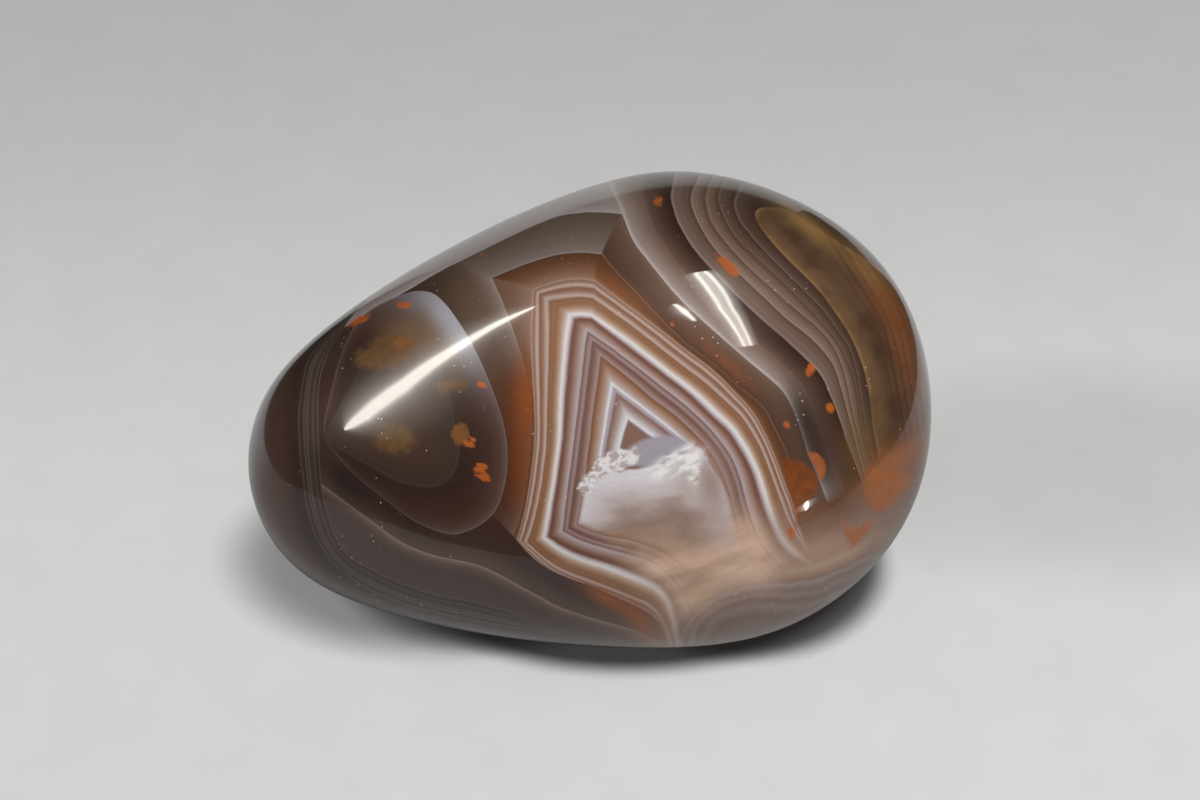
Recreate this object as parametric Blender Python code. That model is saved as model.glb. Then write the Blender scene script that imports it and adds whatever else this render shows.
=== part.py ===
"""A polished lake superior agate: one natural banded stone, about 55 mm long.

The stone is a smooth skin drawn over a few balls, its lobes, so it is rounded and
convex everywhere, as a tumbled pebble is. Only the small worn spot that it rests on
is flat.

Axes: +X is the stone's long axis, from its narrow left end to its broad right end.
+Y is the stone's depth, away from the side that is looked at. +Z is up.
The origin is under the middle of the stone, on the surface that it rests on.
Lengths are in metres.
"""

from math import exp, log

import bmesh
import bpy
from mathutils import Matrix, Vector

MM = 0.001

# The lobes under the skin: centre and radius of each
LOBES = {
    "narrow_left_end": (Vector((-18.0, -3.0, -2.5)) * MM, 11.5 * MM),
    "broad_right_end": (Vector((15.5, -5.5, 0.0)) * MM, 9.0 * MM),
    "high_shoulder": (Vector((15.0, 1.5, 7.0)) * MM, 8.5 * MM),
    "low_belly": (Vector((8.0, -9.0, -3.5)) * MM, 9.5 * MM),
    "high_back": (Vector((4.0, 15.5, 1.0)) * MM, 9.5 * MM),
    "low_back": (Vector((10.5, 11.0, -5.0)) * MM, 9.5 * MM),
}

# How softly the skin passes from one lobe to the next
SKIN_BLEND = 2.4 * MM

# The worn spot that the stone rests on: how much of the underside it takes away
FLAT_DEPTH = 0.20 * MM

# Faces: a ball made of triangles, each edge halved four times
BALL_DIVISIONS = 5

STONE_COLOUR = (0.20, 0.12, 0.095, 1.0)
STONE_ROUGHNESS = 0.12
STONE_IOR = 1.54


def clear_scene():
    """Remove the objects that Blender starts with."""
    for old in list(bpy.data.objects):
        bpy.data.objects.remove(old, do_unlink=True)


def skin_point(facing):
    """The point of the stone's skin whose outward direction is the unit vector given.

    Each lobe reaches out some way in that direction. The skin reaches a little
    further than the furthest of them, and lies over a mix of their centres.
    """
    reaches = [centre.dot(facing) + radius for centre, radius in LOBES.values()]
    furthest = max(reaches)
    pulls = [exp((reach - furthest) / SKIN_BLEND) for reach in reaches]
    skin_reach = furthest + SKIN_BLEND * log(sum(pulls))
    core = Vector()
    for pull, (centre, _) in zip(pulls, LOBES.values()):
        core += centre * (pull / sum(pulls))
    return core + facing * (skin_reach - core.dot(facing))


def wear_flat(bm):
    """Cut the small flat spot under the stone and close it."""
    level = min(vert.co.z for vert in bm.verts) + FLAT_DEPTH
    geometry = bm.verts[:] + bm.edges[:] + bm.faces[:]
    cut = bmesh.ops.bisect_plane(
        bm,
        geom=geometry,
        dist=0.00001 * MM,
        plane_co=(0.0, 0.0, level),
        plane_no=(0.0, 0.0, -1.0),
        clear_outer=True,
    )
    rim = [edge for edge in cut["geom_cut"] if isinstance(edge, bmesh.types.BMEdge)]
    bmesh.ops.holes_fill(bm, edges=rim, sides=0)


def stand_on_origin(bm):
    """Move the stone so that its rest spot lies at z = 0, centred on the origin."""
    low = Vector(min(vert.co[axis] for vert in bm.verts) for axis in range(3))
    high = Vector(max(vert.co[axis] for vert in bm.verts) for axis in range(3))
    middle = (low + high) / 2
    shift = Vector((-middle.x, -middle.y, -low.z))
    bmesh.ops.transform(bm, matrix=Matrix.Translation(shift), verts=bm.verts)


def stone_material():
    """Polished reddish-brown agate."""
    material = bpy.data.materials.new("polished_agate")
    material.use_nodes = True
    material.diffuse_color = STONE_COLOUR
    shader = material.node_tree.nodes["Principled BSDF"]
    shader.inputs["Base Color"].default_value = STONE_COLOUR
    shader.inputs["Roughness"].default_value = STONE_ROUGHNESS
    shader.inputs["Metallic"].default_value = 0.0
    shader.inputs["IOR"].default_value = STONE_IOR
    return material


def make_agate():
    """The whole stone, as one solid."""
    bm = bmesh.new()
    bmesh.ops.create_icosphere(bm, subdivisions=BALL_DIVISIONS, radius=1.0)
    for vert in bm.verts:
        vert.co = skin_point(vert.co.normalized())
    wear_flat(bm)
    stand_on_origin(bm)
    bmesh.ops.recalc_face_normals(bm, faces=bm.faces)
    mesh = bpy.data.meshes.new("agate")
    bm.to_mesh(mesh)
    bm.free()
    mesh.shade_smooth()
    mesh.materials.append(stone_material())
    agate = bpy.data.objects.new("agate", mesh)
    bpy.context.collection.objects.link(agate)
    return agate


clear_scene()
make_agate()
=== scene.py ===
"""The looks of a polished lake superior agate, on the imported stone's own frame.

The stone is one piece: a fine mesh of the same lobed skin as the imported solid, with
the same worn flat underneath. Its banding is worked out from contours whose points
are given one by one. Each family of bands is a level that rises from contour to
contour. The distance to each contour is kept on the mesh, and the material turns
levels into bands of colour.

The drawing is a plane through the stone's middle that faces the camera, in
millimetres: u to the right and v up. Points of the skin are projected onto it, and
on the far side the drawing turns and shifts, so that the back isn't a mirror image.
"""

import logging
from dataclasses import dataclass, field
from enum import Enum
from math import atan2, cos, degrees, pi, radians, sin

import bmesh
import bpy
import numpy as np
from mathutils import Matrix, Vector

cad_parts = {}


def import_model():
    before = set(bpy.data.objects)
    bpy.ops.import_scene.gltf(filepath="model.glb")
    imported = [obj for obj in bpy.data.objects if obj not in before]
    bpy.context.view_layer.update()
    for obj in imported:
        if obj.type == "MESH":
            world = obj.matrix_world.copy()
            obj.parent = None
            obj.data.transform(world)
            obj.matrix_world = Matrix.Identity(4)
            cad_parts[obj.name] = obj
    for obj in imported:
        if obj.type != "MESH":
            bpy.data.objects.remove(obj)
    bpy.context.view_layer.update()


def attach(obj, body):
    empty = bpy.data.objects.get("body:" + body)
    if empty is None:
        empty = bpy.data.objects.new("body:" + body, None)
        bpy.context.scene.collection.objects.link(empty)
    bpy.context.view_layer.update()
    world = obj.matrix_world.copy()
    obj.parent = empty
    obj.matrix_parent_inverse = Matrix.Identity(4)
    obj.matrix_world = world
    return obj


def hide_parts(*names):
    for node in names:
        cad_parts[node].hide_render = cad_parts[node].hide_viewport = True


MM = 0.001
VIEW_TILT = radians(40.0)
log = logging.getLogger("agate")

Point = tuple[float, float]
Place = tuple[float, float, float]
Shade = tuple[int, int, int]
Stops = list[tuple[float, Shade]]
Colour = tuple[float, float, float, float]
Socket = bpy.types.NodeSocket
Value = Socket | float | Colour


def seen(red: int, green: int, blue: int) -> Colour:
    """Turn a colour as a screen shows it, 0 to 255, into scene-linear values.

    Args:
        red, green, blue: the screen's values.

    Returns:
        The linear colour with an alpha of one.
    """
    linear = []
    for value in (red / 255, green / 255, blue / 255):
        linear.append(value / 12.92 if value <= 0.04045 else ((value + 0.055) / 1.055) ** 2.4)
    return (linear[0], linear[1], linear[2], 1.0)


def eased(value: np.ndarray, low: float, high: float) -> np.ndarray:
    """Rise smoothly from 0 at low to 1 at high."""
    share = np.clip((value - low) / (high - low), 0.0, 1.0)
    return share * share * (3.0 - 2.0 * share)


def finished(bm: bmesh.types.BMesh, name: str) -> bpy.types.Mesh:
    """Turn a bmesh into a mesh.

    Args:
        bm: the bmesh, which is freed.
        name: the mesh's name.

    Returns:
        The mesh.
    """
    mesh = bpy.data.meshes.new(name)
    bm.to_mesh(mesh)
    bm.free()
    return mesh


def placed(name: str, data: bpy.types.ID) -> bpy.types.Object:
    """Put an object into the scene.

    Args:
        name: the object's name.
        data: its mesh, light or camera.

    Returns:
        The object.
    """
    thing = bpy.data.objects.new(name, data)
    bpy.context.scene.collection.objects.link(thing)
    return thing


@dataclass(frozen=True)
class Viewpoint:
    """The camera's place: it looks along +Y, tilted down, at the middle of the stone."""

    distance: float = 273.2 * MM
    tilt_down: float = VIEW_TILT
    aim: Place = (0.94 * MM, -2.26 * MM, 17.45 * MM)
    lens: float = 100.0
    sensor: float = 36.0

    @property
    def back(self) -> np.ndarray:
        """The direction from the aim to the camera."""
        return np.array([0.0, -cos(self.tilt_down), sin(self.tilt_down)])

    @property
    def up(self) -> np.ndarray:
        """The picture's upward direction."""
        return np.array([0.0, sin(self.tilt_down), cos(self.tilt_down)])

    @property
    def place(self) -> np.ndarray:
        """Where the camera stands, in metres."""
        return np.array(self.aim) + self.back * self.distance

    def build(self) -> bpy.types.Object:
        """Make the camera.

        Returns:
            The camera object, set as the scene's camera.
        """
        camera = placed("camera", bpy.data.cameras.new("camera"))
        camera.data.lens = self.lens
        camera.data.sensor_width = self.sensor
        camera.data.clip_start = 10 * MM
        camera.data.clip_end = 20.0
        camera.location = self.place
        camera.rotation_euler = (pi / 2 - self.tilt_down, 0.0, 0.0)
        bpy.context.scene.camera = camera
        return camera


@dataclass(frozen=True)
class Contour:
    """One line of the drawing. Its inner side is on the right as it is followed."""

    points: tuple[Point, ...]
    closed: bool = False
    parts: int = 6
    run_on: float = 60.0

    def traced(self) -> np.ndarray:
        """Follow the contour as short straight steps on a smooth curve.

        Returns:
            The steps' corners, one row each. An open contour runs on far past its ends.
        """
        drawn = np.array(self.points, float)
        if self.closed:
            drawn = np.vstack([drawn[-1:], drawn, drawn[:2]])
        else:
            before = 2 * drawn[0] - drawn[1]
            after = 2 * drawn[-1] - drawn[-2]
            drawn = np.vstack([before, drawn, after])
        share = (np.arange(self.parts) / self.parts)[:, None]
        pieces = []
        for a, b, c, d in zip(drawn[:-3], drawn[1:-2], drawn[2:-1], drawn[3:]):
            bend = (2 * a - 5 * b + 4 * c - d) * share**2 + (3 * b - a - 3 * c + d) * share**3
            pieces.append((2 * b + (c - a) * share + bend) / 2)
        pieces.append(drawn[-2:-1])
        line = np.vstack(pieces)
        if self.closed:
            return line
        ends = []
        for end, inner in ((line[0], line[1]), (line[-1], line[-2])):
            ends.append(end + (end - inner) / np.linalg.norm(end - inner) * self.run_on)
        return np.vstack([ends[0], line, ends[1]])

    def inwardness(self, spots: np.ndarray) -> np.ndarray:
        """How far each spot lies inside the contour.

        Args:
            spots: the spots' u and v, one row each.

        Returns:
            The distance to the contour in millimetres, negative outside it.
        """
        line = self.traced()
        nearest = np.full(len(spots), np.inf)
        sign = np.ones(len(spots))
        within = np.zeros(len(spots), bool)
        for start, end in zip(line[:-1], line[1:]):
            step = end - start
            away_u = spots[:, 0] - start[0]
            away_v = spots[:, 1] - start[1]
            share = np.clip((away_u * step[0] + away_v * step[1]) / (step @ step), 0.0, 1.0)
            gap = (away_u - share * step[0]) ** 2 + (away_v - share * step[1]) ** 2
            side = away_u * step[1] - away_v * step[0]
            closer = gap < nearest
            nearest[closer] = gap[closer]
            sign[closer] = np.sign(side[closer])
            crosses = (start[1] > spots[:, 1]) != (end[1] > spots[:, 1])
            within ^= crosses & ((side < 0) == (step[1] > 0))
        return np.sqrt(nearest) * (np.where(within, 1.0, -1.0) if self.closed else sign)


Family = list[tuple[float, Contour]]


@dataclass
class Ledger:
    """The drawing's numbers, kept on the mesh three to an attribute."""

    names: list[str] = field(default_factory=list)
    values: list[np.ndarray] = field(default_factory=list)

    def keep(self, name: str, values: np.ndarray) -> None:
        """Add one number for each of the mesh's points."""
        self.names.append(name)
        self.values.append(values)

    def place(self, name: str) -> tuple[str, int]:
        """The attribute that holds a number, and which of its three it is."""
        index = self.names.index(name)
        return f"drawing_{index // 3}", index % 3

    def write(self, mesh: bpy.types.Mesh) -> None:
        """Store all numbers as attributes.

        Args:
            mesh: the mesh that they belong to.
        """
        nothing = np.zeros(len(mesh.vertices))
        for first in range(0, len(self.values), 3):
            parts = (self.values[first : first + 3] + [nothing, nothing])[:3]
            layer = mesh.attributes.new(f"drawing_{first // 3}", "FLOAT_VECTOR", "POINT")
            layer.data.foreach_set("vector", np.column_stack(parts).ravel())


# The contours of the drawing: points as u and v, and for families the level at each line.
# The nest's four sides meet at its corners. The points were picked along the bands in
# the photo, as pixels, and were then turned into millimetres.
NEST_LEFT: Family = [
    (-1.6, Contour(((-7.8, -12.15), (-6.8, -10.4), (-6.3, -8.45), (-5.95, -6.15), (-5.7, -3.85),
        (-5.6, -1.65), (-5.7, -0.15), (-6.0, 1.8), (-6.55, 3.95), (-7.6, 6.95), (-8.35, 8.75),
        (-8.95, 10.0), (-10.0, 12.15)))),
    (0.0, Contour(((-6.9, -11.7), (-6.45, -10.25), (-6.05, -8.45), (-5.7, -6.15), (-5.4, -3.95),
        (-5.35, -1.65), (-5.45, 0.4), (-5.6, 2.85), (-5.65, 5.75), (-5.5, 9.05), (-5.5, 11.3)))),
    (0.96, Contour(((-6.25, -11.95), (-5.7, -10.5), (-5.15, -8.35), (-4.75, -5.9), (-4.5, -3.3),
        (-4.45, -1.0), (-4.4, 1.25), (-4.35, 4.1), (-4.35, 6.4), (-4.45, 8.6), (-4.5, 11.05)))),
    (2.16, Contour(((-4.75, -11.9), (-4.45, -10.25), (-4.1, -8.2), (-3.7, -5.75), (-3.4, -3.3),
        (-3.25, 0.0), (-3.1, 2.05), (-2.9, 4.25), (-2.7, 5.9), (-2.4, 7.3), (-1.9, 9.0)))),
    (3.69, Contour(((-3.2, -11.5), (-2.95, -10.4), (-2.75, -8.45), (-2.4, -5.75), (-2.05, -3.1),
        (-1.65, 0.15), (-1.4, 2.3), (-1.15, 4.5), (-0.9, 5.9), (-0.55, 7.8)))),
    (4.92, Contour(((-2.2, -11.9), (-1.9, -10.25), (-1.5, -8.2), (-1.1, -5.75), (-0.8, -3.3),
        (-0.4, -0.15), (-0.1, 1.8), (0.15, 3.85), (0.5, 5.75)))),
    (6.1, Contour(((-1.4, -10.65), (-0.9, -8.6), (-0.2, -5.75), (0.2, -3.3), (0.7, -0.15),
        (1.0, 1.65), (1.4, 3.7)))),
    (7.4, Contour(((0.4, -9.85), (1.05, -6.55), (1.7, -3.3), (2.35, -1.25), (3.05, 1.25)))),
]
NEST_TOP: Family = [
    (-3.6, Contour(((-21.3, 5.75), (-16.4, 8.6), (-13.1, 10.55), (-9.7, 12.25), (-6.3, 13.9),
        (-3.6, 15.0), (-1.55, 15.35), (0.5, 15.35), (1.95, 15.2), (4.1, 14.85)))),
    (-1.6, Contour(((-13.1, 8.2), (-10.65, 9.25), (-8.95, 10.0), (-6.3, 11.1), (-3.6, 11.9),
        (-1.55, 12.1), (0.35, 11.95), (3.3, 11.55)))),
    (0.0, Contour(((-7.4, 8.3), (-5.5, 9.05), (-4.5, 9.45), (-3.3, 9.8), (-1.9, 10.0), (-0.5, 9.85),
        (1.65, 9.45)))),
    (0.35, Contour(((-7.4, 7.85), (-5.25, 8.75), (-4.25, 9.05), (-3.1, 9.35), (-1.9, 9.5),
        (-0.55, 9.35), (1.65, 8.95)))),
    (0.96, Contour(((-6.55, 7.45), (-4.65, 8.3), (-3.3, 8.5), (-1.9, 8.6), (-0.55, 8.5),
        (1.65, 8.1)))),
    (1.2, Contour(((-6.55, 7.15), (-3.95, 8.0), (-1.9, 8.3), (-0.65, 8.25), (1.65, 7.85)))),
    (2.16, Contour(((-4.9, 6.55), (-2.4, 7.0), (-1.65, 7.1), (-0.75, 7.0), (1.65, 6.7)))),
    (2.62, Contour(((-4.9, 6.05), (-2.15, 6.6), (-1.5, 6.65), (-0.7, 6.6), (1.65, 6.25)))),
]
NEST_RIGHT: Family = [
    (-3.6, Contour(((1.0, 17.2), (1.75, 15.3), (2.7, 13.15), (4.1, 11.25), (5.4, 9.6), (6.8, 8.0),
        (9.25, 5.7), (11.9, 3.35), (13.6, 2.0), (14.95, 0.65), (15.9, -1.0), (16.55, -2.95),
        (17.05, -4.25), (17.8, -6.25), (18.7, -8.6), (19.85, -11.9)))),
    (-1.6, Contour(((-0.8, 13.5), (0.15, 11.95), (1.0, 10.85), (2.8, 8.95), (4.6, 7.0), (5.9, 5.65),
        (7.4, 4.3), (9.45, 2.8), (11.25, 1.15), (13.3, -0.55), (14.35, -2.45), (15.35, -4.5),
        (16.15, -6.7), (16.9, -9.45), (18.45, -13.1)))),
    (0.0, Contour(((-2.05, 11.0), (-0.5, 9.85), (3.3, 7.0), (5.1, 5.65), (7.15, 4.05), (9.2, 2.5),
        (10.9, 0.85), (12.15, -0.55), (12.9, -1.65), (13.95, -3.75), (14.65, -5.55), (15.2, -7.05),
        (15.75, -8.45), (16.15, -9.85), (16.9, -11.9)))),
    (0.96, Contour(((-2.05, 9.5), (-0.55, 8.5), (2.6, 6.25), (6.55, 3.15), (8.5, 1.7), (10.4, 0.0),
        (11.7, -1.3), (12.45, -2.4), (13.3, -3.95), (14.0, -5.75), (14.65, -7.55), (15.25, -9.1),
        (16.0, -10.75), (16.9, -12.15)))),
    (2.16, Contour(((-2.45, 8.1), (-0.75, 7.0), (2.05, 5.1), (5.8, 2.2), (7.8, 0.65), (9.5, -0.95),
        (10.9, -2.3), (11.65, -3.35), (12.6, -5.05), (13.25, -6.65), (13.75, -8.35), (14.25, -9.75),
        (15.0, -11.3), (16.05, -12.45), (17.6, -13.5), (20.5, -14.75)))),
    (2.62, Contour(((-2.45, 7.8), (-0.7, 6.6), (1.8, 4.65), (5.5, 1.8), (7.4, 0.3), (9.1, -1.35),
        (10.5, -2.7), (11.3, -3.95), (12.2, -5.55), (12.85, -7.4), (13.35, -8.95), (13.85, -10.25),
        (14.5, -11.65), (15.55, -12.8), (17.4, -13.95), (20.5, -15.4)))),
    (3.69, Contour(((-2.3, 6.55), (-1.0, 5.55), (1.65, 3.7), (5.0, 1.1), (6.95, -0.45),
        (8.7, -2.05), (9.75, -3.3), (10.75, -4.75), (11.4, -6.4), (11.8, -7.95), (12.3, -9.6),
        (12.85, -11.05), (13.75, -12.45), (15.15, -13.75), (17.6, -15.15)))),
    (4.92, Contour(((-1.25, 4.5), (0.1, 3.5), (2.45, 1.65), (4.25, 0.1), (6.25, -1.4),
        (7.95, -3.05), (8.95, -4.25), (9.85, -5.75), (10.5, -7.4), (10.9, -9.0), (11.4, -10.65),
        (12.15, -12.3), (13.5, -14.1), (16.4, -16.0)))),
    (6.1, Contour(((-0.25, 2.3), (1.0, 1.3), (3.6, -0.65), (5.5, -2.15), (7.4, -3.75), (8.35, -4.9),
        (9.2, -6.55), (9.75, -8.6), (10.15, -10.65), (10.8, -12.7), (12.3, -14.75),
        (15.55, -16.8)))),
    (7.4, Contour(((0.8, -0.35), (2.35, -1.55), (3.7, -2.55), (5.55, -3.85), (6.95, -5.0),
        (7.95, -6.55), (8.5, -8.6), (8.95, -10.65), (9.5, -13.1), (11.05, -15.15),
        (14.75, -17.6)))),
]
NEST_LOW: Family = [
    (0.0, Contour(((6.55, -24.6), (6.25, -22.15), (5.55, -19.65), (4.5, -17.85), (2.95, -16.9),
        (1.0, -16.0), (-0.3, -15.4), (-2.2, -14.7), (-3.6, -14.15), (-4.9, -13.35), (-6.0, -12.4),
        (-6.95, -11.3), (-8.2, -10.0)))),
    (0.5, Contour(((6.25, -23.75), (5.9, -21.3), (5.25, -19.2), (4.35, -17.55), (2.8, -16.65),
        (1.0, -15.85), (-0.5, -15.35), (-2.2, -14.6), (-3.75, -13.9), (-4.9, -12.95),
        (-5.8, -12.15), (-6.8, -11.25), (-8.2, -9.9)))),
    (0.96, Contour(((6.4, -22.95), (6.0, -20.5), (5.35, -18.45), (4.2, -16.95), (2.55, -16.2),
        (0.45, -15.35), (-1.55, -14.6), (-3.45, -13.85), (-4.9, -12.8), (-6.0, -11.8),
        (-7.4, -10.65)))),
    (2.16, Contour(((6.65, -24.6), (6.35, -20.5), (6.0, -18.45), (5.5, -16.65), (4.75, -15.65),
        (3.7, -15.05), (2.2, -14.4), (0.45, -13.75), (-1.55, -13.1), (-3.1, -12.4), (-4.65, -11.25),
        (-6.15, -10.0)))),
    (2.62, Contour(((7.2, -24.6), (6.9, -20.5), (6.55, -18.2), (5.9, -16.25), (4.9, -15.0),
        (3.7, -14.4), (2.15, -13.75), (0.5, -13.2), (-0.9, -12.8), (-2.55, -12.15), (-4.15, -11.2),
        (-5.75, -9.9)))),
    (3.69, Contour(((8.6, -24.6), (8.2, -20.9), (7.8, -18.45), (6.95, -16.15), (5.55, -14.25),
        (3.95, -13.1), (1.65, -12.4), (0.0, -11.95), (-1.55, -11.45), (-3.0, -10.7),
        (-4.9, -9.5)))),
    (4.92, Contour(((9.85, -24.6), (9.35, -20.5), (8.7, -17.6), (7.55, -14.75), (5.55, -12.7),
        (2.85, -11.55), (0.0, -11.0), (-2.05, -10.15), (-3.7, -9.0)))),
]
FAN: Family = [
    (0.0, Contour(((19.8, -11.9), (18.7, -8.6), (17.8, -6.2), (17.0, -4.3), (16.6, -3.0),
        (15.9, -1.0), (15.0, 0.7), (13.6, 2.0), (11.9, 3.4), (9.3, 5.7), (6.8, 8.0), (5.4, 9.6),
        (4.1, 11.2), (2.7, 13.1), (1.8, 15.3), (1.0, 17.2)))),
    (1.0, Contour(((23.0, -10.7), (21.5, -6.8), (20.7, -4.6), (20.2, -3.3), (19.5, -1.2),
        (18.8, 0.5), (18.1, 2.0), (17.0, 3.2), (15.2, 4.9), (12.9, 6.9), (10.9, 8.8), (9.2, 10.6),
        (7.6, 12.5), (6.5, 14.3), (6.0, 15.7), (5.8, 16.7), (6.0, 18.0)))),
    (2.0, Contour(((23.3, -10.7), (21.8, -6.6), (20.9, -3.3), (20.2, -0.6), (19.6, 1.6),
        (18.9, 3.3), (17.4, 5.0), (15.4, 6.6), (13.6, 8.3), (11.6, 10.2), (9.5, 12.3), (8.2, 14.3),
        (7.6, 15.7), (7.5, 16.8), (8.0, 18.0)))),
    (3.0, Contour(((23.6, -10.7), (22.1, -6.6), (21.3, -3.3), (20.7, -1.0), (20.2, 1.5),
        (19.4, 3.9), (18.1, 5.7), (16.1, 7.4), (13.6, 9.6), (11.6, 11.5), (9.5, 14.0), (8.8, 15.6),
        (8.7, 17.0), (9.2, 18.2)))),
    (4.0, Contour(((24.0, -10.7), (22.5, -6.6), (21.6, -2.9), (21.1, 0.4), (20.5, 2.7), (19.5, 4.7),
        (17.9, 6.7), (16.1, 8.6), (13.6, 11.0), (11.1, 13.4), (10.1, 15.2), (9.7, 16.6),
        (10.1, 17.9)))),
    (5.0, Contour(((24.3, -10.7), (22.8, -6.6), (21.8, -2.5), (21.3, 0.7), (20.6, 3.9), (19.2, 6.1),
        (17.9, 7.8), (16.1, 9.6), (13.6, 12.1), (11.7, 14.3), (11.1, 15.5), (11.0, 16.4),
        (11.5, 17.5)))),
    (6.0, Contour(((24.8, -10.7), (23.3, -6.6), (22.4, -2.5), (22.0, 0.7), (21.4, 3.1), (20.4, 5.4),
        (19.0, 7.5), (17.7, 9.2), (15.0, 11.9), (13.3, 13.9), (12.7, 15.2), (12.9, 16.0),
        (13.8, 16.7)))),
]
TIP: Family = [
    (0.0, Contour(((13.1, -20.9), (3.3, -20.3), (-6.6, -18.7), (-9.8, -18.2), (-13.1, -17.5),
        (-16.4, -16.6), (-19.5, -15.2), (-21.5, -13.7), (-22.8, -12.1), (-23.5, -10.7),
        (-24.1, -8.4), (-24.3, -6.6), (-24.6, -4.1), (-24.7, -1.2), (-24.4, 1.2), (-23.9, 3.3),
        (-22.8, 4.7), (-21.3, 6.1)))),
    (1.0, Contour(((13.1, -20.9), (4.1, -20.5), (0.0, -20.1), (-3.2, -19.3), (-5.2, -18.6),
        (-7.4, -17.4), (-10.7, -16.5), (-13.4, -16.0), (-16.4, -15.0), (-18.7, -13.9),
        (-20.6, -12.8), (-21.7, -11.2), (-22.3, -9.4), (-22.8, -7.4), (-23.0, -4.9), (-23.1, -2.5),
        (-23.1, 0.0), (-22.9, 2.0), (-22.1, 4.3), (-20.9, 6.1)))),
]
TEAR = Contour(((24.8, -10.7), (23.3, -6.6), (22.4, -2.5), (22.0, 0.7), (21.4, 3.1), (20.4, 5.4),
    (19.0, 7.5), (17.7, 9.2), (15.0, 11.9), (13.3, 13.9), (12.7, 15.1), (13.0, 15.7), (13.8, 15.8),
    (15.1, 15.7), (16.4, 15.0), (18.9, 13.4), (22.1, 11.3), (27.0, 8.2)))
EYE_RIM = Contour(((-22.5, -3.0), (-22.1, 0.4), (-20.9, 4.5), (-19.3, 7.0), (-16.3, 8.6),
    (-14.3, 8.9), (-12.9, 8.1), (-11.2, 5.8), (-9.9, 3.4), (-8.6, 0.2), (-7.9, -2.1), (-7.6, -4.4),
    (-7.8, -6.8), (-8.5, -8.9), (-9.8, -10.2), (-11.8, -11.0), (-13.4, -10.7), (-15.4, -9.8),
    (-17.8, -8.0), (-20.3, -5.9)), closed=True)
EYE_CORE = Contour(((-22.5, -3.1), (-21.3, -0.4), (-19.3, 2.9), (-16.4, 4.5), (-13.9, 4.1),
    (-12.5, 1.2), (-11.9, -1.6), (-11.5, -4.1), (-11.9, -5.9), (-12.7, -6.8), (-14.1, -7.2),
    (-16.3, -6.8), (-18.1, -5.9), (-20.4, -4.6)), closed=True)
LOW_CURVE = Contour(((8.2, -21.7), (3.3, -19.1), (-0.3, -18.0), (-3.3, -17.0), (-4.8, -16.2),
    (-6.3, -15.4), (-7.9, -14.5), (-9.8, -13.6), (-11.4, -13.2), (-13.0, -12.9), (-14.4, -12.5),
    (-16.4, -11.6), (-18.9, -9.8)))
# Where the pale table's reflection begins on the lower right; past this line the reflection is painted.
MIRRORED_TABLE_EDGE = Contour(((8.2, -24.6), (11.9, -15.6), (14.3, -11.9), (16.1, -9.2), (17.5, -8.3),
    (19.4, -7.3), (21.6, -5.8), (24.3, -3.9), (27.0, -1.6)))
STRIPES = Contour(((24.0, -9.8), (23.8, -4.1), (23.2, 0.0), (22.5, 3.7), (21.8, 6.1), (20.5, 8.2)))
VEIL = Contour(((-4.9, -12.8), (-2.3, -9.2), (-0.8, -7.0), (0.4, -6.1), (1.8, -5.8), (3.4, -5.6),
    (5.2, -4.8), (6.9, -3.7), (8.2, -4.1), (9.3, -5.7), (11.2, -9.0), (13.1, -13.1), (14.3, -16.4)))
SWIRL = Contour(((6.1, -20.9), (6.7, -18.7), (8.2, -16.8), (10.8, -15.6), (14.6, -15.1),
    (18.2, -14.4), (22.0, -13.1), (25.0, -11.3)))
RUST_PATCH = Contour(((15.2, -4.8), (16.4, -5.1), (17.3, -5.7), (17.9, -6.5), (17.6, -7.6),
    (16.6, -9.0), (16.2, -10.4), (15.8, -8.2), (15.2, -6.1)), closed=True)
CRESCENT = Contour(((17.0, -4.4), (17.8, -4.4), (18.4, -5.1), (18.4, -6.1), (18.0, -6.7),
    (17.8, -5.7)), closed=True)
HIGH_PATCH = Contour(((21.9, -5.9), (22.8, -5.5), (24.3, -5.9), (25.6, -6.5), (25.3, -7.1),
    (24.0, -8.4), (23.0, -9.2), (22.5, -8.9), (21.9, -7.9)), closed=True)
LOW_PATCH = Contour(((19.7, -9.8), (20.7, -10.6), (22.2, -10.0), (21.6, -11.1), (20.7, -12.0),
    (20.1, -10.8)), closed=True)

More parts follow.
